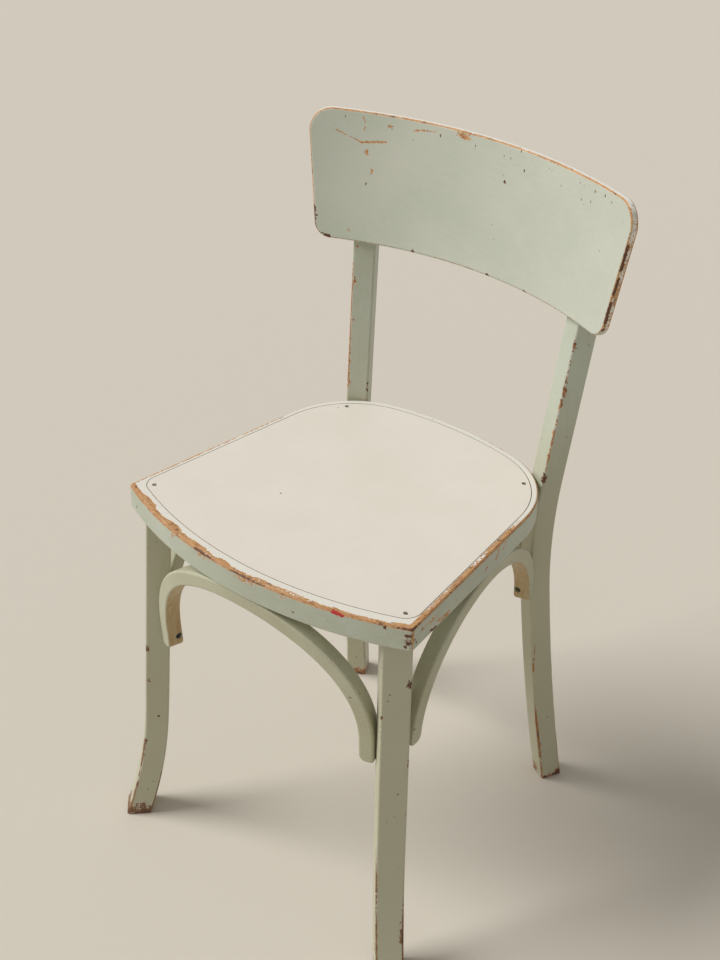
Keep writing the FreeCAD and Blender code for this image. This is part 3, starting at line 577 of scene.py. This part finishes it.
LIMB_STREAKS = 260.0
ORANGE_STREAKS = (0.35, 0.75)
INNER_FACING = (0.35, 0.62)


def limb_inside(centre):
    """The arches' inner faces turn tan, with orange streaks along the grain."""
    def inner_faces(tree, position, normal):
        inwards = vector_math(tree, "NORMALIZE", vector_math(tree, "SUBTRACT", centre, position))
        facing = vector_math(tree, "DOT_PRODUCT", inwards, normal)
        along = vector_math(tree, "MULTIPLY", position, GRAIN_UPRIGHT)
        streaks = noise(tree, along, LIMB_STREAKS, roughness=0.6)
        wood = mix_colour(tree, ramp(tree, streaks, *ORANGE_STREAKS), colour(LIMB_TAN),
                          colour(LIMB_ORANGE))
        return ramp(tree, facing, *INNER_FACING), wood
    return inner_faces


# The heights between which the legs' and posts' paint takes on painted warm bounce light and shade, and
# how much of it does
WARM_BOUNCE_BETWEEN = (0.6, 0.36)
WARM_BOUNCE_SHARE = 0.8


def painted_warm_bounce_low(tree, position, normal):
    """Painted warm bounce light and shade on the legs and posts below the seat: the mint turns warmer
    and duller.
    """
    height = split(tree, position)["Z"]
    return ramp(tree, height, *WARM_BOUNCE_BETWEEN, 0.0, WARM_BOUNCE_SHARE), colour(PAINTED_WARM_BOUNCE)


# The feet's wear ends on a wavering line. It is full at the heights given here, and the trodden
# rim's begins at its first height.
FOOT_WAVES = 70.0
FOOT_WAVER = 0.05
FOOT_WEAR = 0.5
FULLY_SCUFFED = 0.002
TRODDEN = (0.006, 0.001)
FULLY_KICKED = 0.01


def foot_region(scuffed_height, kicked_height, kick):
    """Scuffed feet: the paint is lost at the floor, and on the arrises some way up."""
    def region(tree, position, normal, arris):
        waves = noise(tree, position, FOOT_WAVES, roughness=0.6)
        level = calculate(tree, "MULTIPLY_ADD", waves, FOOT_WAVER, split(tree, position)["Z"])
        level = calculate(tree, "SUBTRACT", level, FOOT_WAVER / 2)
        scuffed = ramp(tree, level, scuffed_height, FULLY_SCUFFED, 0.0, FOOT_WEAR)
        trodden = ramp(tree, level, *TRODDEN, 0.0, FOOT_WEAR)
        kicked = ramp(tree, level, kicked_height, FULLY_KICKED, 0.0, kick)
        return calculate(tree, "MULTIPLY_ADD", arris, kicked,
                         calculate(tree, "ADD", scuffed, trodden))
    return region


# The backrest board, by how far its surface looks up or to the right

TOP_FACING = (0.6, 0.85)
END_FACING = (0.6, 0.85)
TOP_ARRIS_FACING = (0.24, 0.4)
TOP_ARRIS_END = (0.86, 0.78)
BOTTOM_FACING = (-0.2, -0.6)
TOP_LINE_WEAR = 0.22
RIGHT_END_WEAR = 0.5
BOTTOM_SPARED = 0.28


def board_paint(tree, position, normal):
    """The board's top edge is rubbed to a pale coat."""
    return ramp(tree, split(tree, normal)["Z"], *TOP_FACING), colour(UNDERCOAT)


def board_region(tree, position, normal, arris):
    """A steady line along the top, wear on the right end, and little along the bottom edge."""
    facing = split(tree, normal)
    top_line = ramp(tree, facing["Z"], *TOP_ARRIS_FACING, 0.0, TOP_LINE_WEAR)
    top_line = calculate(tree, "MULTIPLY", top_line, ramp(tree, facing["Z"], *TOP_ARRIS_END))
    right_end = ramp(tree, facing["X"], *END_FACING, 0.0, RIGHT_END_WEAR)
    under = ramp(tree, facing["Z"], *BOTTOM_FACING, 0.0, BOTTOM_SPARED)
    worn = calculate(tree, "MAXIMUM", top_line, right_end)
    return calculate(tree, "SUBTRACT", worn, under)


def board_rim(tree, normal):
    """White undercoat among the wear on the right end."""
    face_rim, end_rim = 0.02, 0.15
    return ramp(tree, split(tree, normal)["X"], *END_FACING, face_rim, end_rim)


# Where the board's specks begin in height and change from left to right, and how many there are
# on its left, on its right and below
SPECKED_ABOVE = (0.764, 0.782)
SPECKS_CHANGE = (-0.06, 0.03)
LEFT_SPECKS = 0.5
RIGHT_SPECKS = 2.4
LOW_SPECKS = 0.015


def board_specks(tree, position):
    """Many specks just under the board's top edge, more to the right."""
    parts = split(tree, position)
    high = ramp(tree, parts["Z"], *SPECKED_ABOVE)
    across = ramp(tree, parts["X"], *SPECKS_CHANGE, LEFT_SPECKS, RIGHT_SPECKS)
    return calculate(tree, "MULTIPLY_ADD", high, across, LOW_SPECKS)


# Screws and nails. Paint is left where its noise is above a limit, which a larger share lowers.

RUST = 700.0
RUST_RANGE = (0.3, 0.7)
RUST_SHADE = 0.6
COAT_REMAINS = 480.0
COAT_LIMIT = 0.6
COAT_LOWERED = 0.3
COAT_EDGE = 0.06
IRON_METALLIC = 0.2
IRON_ROUGHNESS = (0.6, 0.8)
IRON_BUMP = 0.4
IRON_DEPTH = 0.0002


def metal(name, tone, coat_share):
    """Dull dark iron with the remains of paint on it."""
    material, tree, surface, position, _ = new_material(name)
    rust = noise(tree, position, RUST)
    darker = [part * RUST_SHADE for part in tone]
    iron = mix_colour(tree, rust, colour(tone), colour(darker))
    limit = COAT_LIMIT - coat_share * COAT_LOWERED
    coated = ramp(tree, noise(tree, position, COAT_REMAINS, detail=2.0), limit, limit + COAT_EDGE)
    plug(tree, surface.inputs["Base Color"], mix_colour(tree, coated, iron, colour(MINT)))
    plug(tree, surface.inputs["Metallic"], ramp(tree, coated, 0.0, 1.0, IRON_METALLIC, 0.0))
    plug(tree, surface.inputs["Roughness"], ramp(tree, rust, *RUST_RANGE, *IRON_ROUGHNESS))
    bumps(tree, surface, rust, IRON_BUMP, IRON_DEPTH)
    return material


# Worn places: centre, reach, strength and a stretch that shortens the reach along an axis.
# Worn lines: start, end, reach and strength.
PANEL_PLACES = [((-0.0605, -0.0718, 0.4645), 0.002, 1.0, EVEN)]
BOARD_PLACES = [
    ((-0.1463, 0.1787, 0.7559), 0.0035, 0.9, (1, 1, 0.6)),
    ((-0.1387, 0.1778, 0.7353), 0.0035, 0.8, (1.2, 1, 0.5)),
    ((-0.1236, 0.1915, 0.7884), 0.006, 0.7, (0.8, 1, 2.2)),
    ((-0.0357, 0.2087, 0.7941), 0.0105, 0.85, (0.85, 1, 1.9)),
    ((0.0238, 0.2037, 0.7597), 0.0022, 2.2, EVEN),
    ((-0.1571, 0.1593, 0.6653), 0.003, 0.7, EVEN),
    ((-0.0796, 0.1795, 0.6550), 0.003, 1.0, EVEN),
    ((0.0196, 0.1862, 0.6545), 0.003, 1.0, EVEN),
    ((0.0724, 0.1809, 0.6537), 0.0026, 1.0, EVEN),
]
BOARD_LINES = [
    ((0.2088, 0.1538, 0.7600), (0.2050, 0.1513, 0.7330), 0.0018, 1.0),
    ((0.2040, 0.1508, 0.7240), (0.2010, 0.1486, 0.7060), 0.0016, 1.0),
    ((0.1995, 0.1475, 0.6960), (0.1940, 0.1460, 0.6640), 0.0018, 1.0),
    ((0.2150, 0.1620, 0.7600), (0.2085, 0.1570, 0.6900), 0.0046, 1.0),
    ((-0.1975, 0.1463, 0.6860), (-0.1930, 0.1470, 0.6610), 0.0034, 1.0),
    ((-0.1930, 0.1470, 0.6590), (-0.1780, 0.1490, 0.6545), 0.0030, 1.0),
    ((-0.1537, 0.1777, 0.7662), (-0.1266, 0.1876, 0.7702), 0.0018, 0.85),
    ((-0.1815, 0.1682, 0.7769), (-0.1537, 0.1777, 0.7662), 0.0017, 0.6),
    ((-0.1543, 0.1822, 0.7939), (-0.1500, 0.1818, 0.7865), 0.002, 0.7),
    ((-0.1500, 0.1818, 0.7865), (-0.1520, 0.1808, 0.7795), 0.002, 0.7),
    ((-0.0960, 0.1990, 0.7885), (-0.0674, 0.2049, 0.7925), 0.0024, 0.52),
]
RIGHT_POST_PLACES = [
    ((0.1426, 0.1377, 0.4620), 0.0050, 1.0, (1, 1, 0.5)),
    ((0.1438, 0.1412, 0.4885), 0.0040, 0.7, (1, 1, 0.4)),
    ((0.1452, 0.1460, 0.5190), 0.0036, 0.7, (1, 1, 0.5)),
    ((0.1482, 0.1512, 0.5543), 0.0038, 0.75, (1, 1, 0.4)),
    ((0.1498, 0.1545, 0.5690), 0.0040, 0.75, (1, 1, 0.4)),
    ((0.1528, 0.1618, 0.6231), 0.0034, 0.7, (1, 1, 0.4)),
]
RIGHT_POST_LINES = [
    ((0.1426, 0.1377, 0.462), (0.1530, 0.1640, 0.625), 0.0034, 0.3),
    ((0.1478, 0.1384, 0.225), (0.1478, 0.1390, 0.185), 0.002, 0.6),
    ((0.1490, 0.1405, 0.14), (0.1585, 0.1560, 0.04), 0.003, 0.62),
]
LEFT_POST_PLACES = [
    ((-0.1498, 0.1654, 0.6447), 0.003, 0.8, EVEN),
    ((-0.1480, 0.1592, 0.6030), 0.004, 0.7, (1, 1, 0.35)),
    ((-0.1452, 0.1530, 0.5560), 0.003, 0.7, (1, 1, 0.35)),
    ((-0.1195, 0.1492, 0.4790), 0.0040, 1.0, EVEN),
    ((-0.1190, 0.1490, 0.4700), 0.0036, 1.0, EVEN),
]
LEFT_POST_LINES = [((-0.1530, 0.1612, 0.622), (-0.1405, 0.1386, 0.47), 0.0036, 0.44)]
RIGHT_LEG_PLACES = [
    ((0.1886, -0.1585, 0.3861), 0.0045, 1.0, (1, 1, 0.6)),
    ((0.171, -0.1809, 0.3472), 0.0028, 0.8, EVEN),
    ((0.1930, -0.1640, 0.285), 0.004, 0.7, (1, 1, 0.6)),
    ((0.1715, -0.1820, 0.29), 0.0028, 0.7, EVEN),
]
RIGHT_LEG_LINES = [
    ((0.2030, -0.1790, 0.145), (0.2090, -0.1890, 0.045), 0.0048, 0.8),
    ((0.1740, -0.1913, 0.165), (0.1847, -0.206, 0.03), 0.003, 0.6),
]
LEFT_LEG_PLACES = [
    ((-0.1701, -0.1870, 0.258), 0.0045, 0.85, (1, 1, 0.5)),
    ((-0.171, -0.1890, 0.212), 0.0035, 0.7, (1, 1, 0.5)),
    ((-0.1651, -0.1838, 0.1564), 0.002, 1.4, EVEN),
]
LEFT_LEG_LINES = [((-0.1780, -0.1960, 0.12), (-0.1960, -0.2110, 0.03), 0.0034, 0.7)]
RING_PLACES = [
    ((-0.0473, -0.2083, 0.4645), 0.009, 0.6, (0.55, 1, 1.5)),
    ((0.017, -0.2105, 0.4640), 0.016, 0.62, (0.6, 1, 2.6)),
    ((0.0635, -0.2065, 0.4635), 0.008, 0.55, (0.6, 1, 2.0)),
    ((0.1944, -0.1695, 0.4546), 0.018, 0.40, (1, 1, 0.8)),
    ((0.1933, -0.1698, 0.4586), 0.0040, 1.0, EVEN),
    ((0.1930, -0.1702, 0.4500), 0.0044, 1.0, (1, 1, 0.7)),
    ((0.1915, -0.1711, 0.4452), 0.0026, 1.0, EVEN),
    ((0.1717, -0.1788, 0.4636), 0.0025, 1.1, EVEN),
    ((-0.1785, -0.1765, 0.4494), 0.0022, 1.0, EVEN),
    ((-0.0981, -0.201, 0.4620), 0.004, 0.6, EVEN),
    ((0.0754, -0.2056, 0.4502), 0.002, 1.1, EVEN),
    ((0.1934, -0.1345, 0.4480), 0.016, 0.4, (1, 0.7, 1.2)),
    ((0.1795, -0.0194, 0.4477), 0.005, 0.55, EVEN),
]
RING_LINES = [
    ((0.1965, -0.1665, 0.4640), (0.1965, -0.1665, 0.4440), 0.0042, 0.62),
    ((0.1950, -0.1500, 0.4560), (0.1915, -0.1180, 0.4540), 0.0060, 0.5),
    ((0.1925, -0.1250, 0.4470), (0.1890, -0.0960, 0.4430), 0.0040, 0.52),
    ((0.1958, -0.1630, 0.4520), (0.1955, -0.1600, 0.4470), 0.0026, 1.0),
    ((0.1770, 0.0070, 0.4570), (0.1778, 0.0000, 0.4460), 0.0034, 0.58),
    ((0.1750, 0.0200, 0.4570), (0.1755, 0.0150, 0.4500), 0.0028, 0.55),
    ((0.1790, -0.0170, 0.4540), (0.1800, -0.0230, 0.4440), 0.0022, 0.55),
    ((0.1905, -0.1160, 0.4420), (0.1890, -0.1000, 0.4410), 0.0034, 0.62),
    ((0.1925, -0.1330, 0.4420), (0.1915, -0.1230, 0.4408), 0.0030, 1.0),
]
FRONT_ARCH_PLACES = [
    ((-0.105, -0.1925, 0.43), 0.0025, 0.9, EVEN),
    ((-0.02, -0.2065, 0.4335), 0.0025, 0.9, EVEN),
]


def dress_chair():
    """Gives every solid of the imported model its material."""
    ring = dict(axis=AXIS_UP, arris_wear=0.34, rim=ring_rim, region=ring_region, second=ring_paint,
                places=RING_PLACES, lines=RING_LINES)
    dress("seat_front_rail", paint("front_rail_paint", grain=GRAIN_ACROSS, spot=red_spot, **ring))
    dress("seat_bent_rail", paint("bent_rail_paint", grain=GRAIN_ALONG, **ring))

    # Smooth cream paint, worn to a thin brown line round its edge
    dress("seat_panel", paint(
        "cream_panel_paint", AXIS_UP, GRAIN_ALONG, arris_wear=0.8, wear=-0.05, places=PANEL_PLACES,
        top=PANEL_CREAM, shade=PANEL_SHADE, rim=0.0, speck_amount=0.012,
        bare=(FOOT_DARK, BARE_OLD)))

    # The legs and posts get painted warm bounce light and shade below the seat as their second paint
    upright = dict(grain=GRAIN_UPRIGHT, arris_wear=0.24, rim=0.02, speck_amount=0.35,
                   second=painted_warm_bounce_low)
    leg = dict(upright, bare=(FOOT_LIGHT, FOOT_DARK))
    dress("front_leg_right", paint(
        "right_leg_paint", LEG_SIDE, places=RIGHT_LEG_PLACES, lines=RIGHT_LEG_LINES,
        region=foot_region(scuffed_height=0.036, kicked_height=0.17, kick=0.4), **leg))
    dress("front_leg_left", paint(
        "left_leg_paint", mirrored_x(LEG_SIDE), places=LEFT_LEG_PLACES, lines=LEFT_LEG_LINES,
        region=foot_region(scuffed_height=0.036, kicked_height=0.12, kick=0.4), **leg))
    post = dict(upright, bare=(POST_LIGHT, POST_DARK))
    dress("rear_post_right", paint(
        "right_post_paint", POST_SIDE, places=RIGHT_POST_PLACES, lines=RIGHT_POST_LINES,
        region=foot_region(scuffed_height=0.02, kicked_height=0.12, kick=0.25), **post))
    dress("rear_post_left", paint(
        "left_post_paint", mirrored_x(POST_SIDE), places=LEFT_POST_PLACES, lines=LEFT_POST_LINES,
        region=foot_region(scuffed_height=0.02, kicked_height=0.1, kick=0.15), **post))

    dress("backrest_board", paint(
        "board_paint", round_axis(BOARD_AXIS_POINT, BOARD_AXIS), GRAIN_ACROSS, arris_wear=0.5,
        places=BOARD_PLACES, lines=BOARD_LINES, top=MINT_PALE, shade=MINT, rim=board_rim,
        speck_amount=board_specks, specks_everywhere=0.3, speck_stretch=STREAKED,
        region=board_region, second=board_paint))

    arches = (("front_arch", round_axis(FRONT_ARCH_AXIS), INSIDE_FRONT_ARCH, FRONT_ARCH_PLACES),
              ("rear_arch", round_axis(REAR_ARCH_AXIS), INSIDE_REAR_ARCH, ()),
              ("right_arch", SIDE_ARCH_OUT, INSIDE_RIGHT_ARCH, ()),
              ("left_arch", mirrored_x(SIDE_ARCH_OUT), mirrored_x(INSIDE_RIGHT_ARCH), ()))
    for node, axis, inside, places in arches:
        # The arches' paint carries painted warm bounce light and painted shade from under the seat
        dress(node, paint(
            node + "_paint", axis, GRAIN_ALONG, arris_wear=0.22, places=places, top=MINT_WITH_WARM_BOUNCE,
            shade=MINT_SHADE_WITH_WARM_BOUNCE, rim=0.03, speck_amount=0.35, second=limb_inside(inside)))

    screws = metal("dark_screw_iron", SCREW_DARK, coat_share=0.0)
    for node in ("arch_end_screws", "arch_crown_screws", "post_ring_screws", "backrest_screws"):
        dress(node, screws)
    dress("seat_panel_nails", metal("painted_nail_iron", NAIL_DARK, coat_share=0.15))


# Floor, light and camera

FLOOR_REACH = 20.0
FLOOR_ROUGHNESS = 0.9


def pale_floor():
    """A wide plain floor; the camera looks down on it, so it is the background too."""
    mesh = bpy.data.meshes.new("floor")
    ground = bmesh.new()
    bmesh.ops.create_grid(ground, x_segments=1, y_segments=1, size=FLOOR_REACH)
    ground.to_mesh(mesh)
    ground.free()
    floor = bpy.data.objects.new("floor", mesh)
    bpy.context.scene.collection.objects.link(floor)
    material, _, surface, _, _ = new_material("floor_paint")
    surface.inputs["Base Color"].default_value = colour(FLOOR_PALE)
    surface.inputs["Roughness"].default_value = FLOOR_ROUGHNESS
    mesh.materials.append(material)


SURROUND_TINT = (1.0, 0.985, 0.96, 1.0)
SURROUND_LIGHT = 0.35
WALL_LIGHT = 0.72


def pale_surroundings():
    """Soft light from all round, which is seen as a pale wall behind the floor."""
    world = bpy.data.worlds.new("studio")
    world.use_nodes = True
    tree = world.node_tree
    background = tree.nodes["Background"]
    background.inputs["Color"].default_value = SURROUND_TINT
    rays = tree.nodes.new("ShaderNodeLightPath").outputs
    seen = calculate(tree, "MAXIMUM", rays["Is Camera Ray"], rays["Is Glossy Ray"])
    seen = calculate(tree, "MAXIMUM", seen, rays["Is Transmission Ray"])
    plug(tree, background.inputs["Strength"], ramp(tree, seen, 0.0, 1.0, SURROUND_LIGHT, WALL_LIGHT))
    bpy.context.scene.world = world


# The light's strength, how wide it is in degrees, and the way it travels
DAYLIGHT = 2.65
DAYLIGHT_SPREAD = 30.0
DAYLIGHT_TRAVEL = (2.15, 1.5, -2.6)


def soft_daylight():
    """One broad light from the left, in front and above."""
    lamp = bpy.data.lights.new("daylight", "SUN")
    lamp.energy = DAYLIGHT
    lamp.angle = math.radians(DAYLIGHT_SPREAD)
    light = bpy.data.objects.new("daylight", lamp)
    light.rotation_euler = Vector(DAYLIGHT_TRAVEL).to_track_quat("-Z", "Y").to_euler()
    bpy.context.scene.collection.objects.link(light)


# The photograph's camera: angles in degrees, its place in metres, the frame, focal length and
# shift in pixels, and the sensor in millimetres
CAMERA_AZIMUTH = 39.772
CAMERA_PITCH = 34.051
CAMERA_ROLL = -0.018
CAMERA_PLACE = (0.94146, -1.14763, 1.47474)
FOCAL_PIXELS = 1633.07
FRAME_WIDTH = 720
FRAME_HEIGHT = 960
CENTRE_SHIFT = (-4.0, -0.9)
SENSOR_HEIGHT = 36.0


def photograph_camera():
    """The photograph's viewpoint, found from the chair's own lines."""
    turn, pitch, roll = (math.radians(angle) for angle in (CAMERA_AZIMUTH, CAMERA_PITCH, CAMERA_ROLL))
    right = Vector((math.cos(turn), math.sin(turn), 0))
    level = Vector((-math.sin(turn), math.cos(turn), 0))
    forward = level * math.cos(pitch) - Vector(AXIS_UP) * math.sin(pitch)
    up = Vector(AXIS_UP) * math.cos(pitch) + level * math.sin(pitch)
    side = right * math.cos(roll) + up * math.sin(roll)
    head = up * math.cos(roll) - right * math.sin(roll)
    data = bpy.data.cameras.new("photograph")
    data.sensor_fit = "VERTICAL"
    data.sensor_height = SENSOR_HEIGHT
    data.sensor_width = SENSOR_HEIGHT * FRAME_WIDTH / FRAME_HEIGHT
    data.lens = FOCAL_PIXELS * SENSOR_HEIGHT / FRAME_HEIGHT
    data.shift_x = -CENTRE_SHIFT[0] / FRAME_HEIGHT
    data.shift_y = CENTRE_SHIFT[1] / FRAME_HEIGHT
    camera = bpy.data.objects.new("photograph", data)
    axes = Matrix((side, head, -forward)).transposed()
    camera.matrix_world = Matrix.Translation(Vector(CAMERA_PLACE)) @ axes.to_4x4()
    bpy.context.scene.collection.objects.link(camera)
    bpy.context.scene.camera = camera


dress_chair()
pale_floor()
pale_surroundings()
soft_daylight()
photograph_camera()
bpy.context.scene.view_settings.view_transform = "Standard"
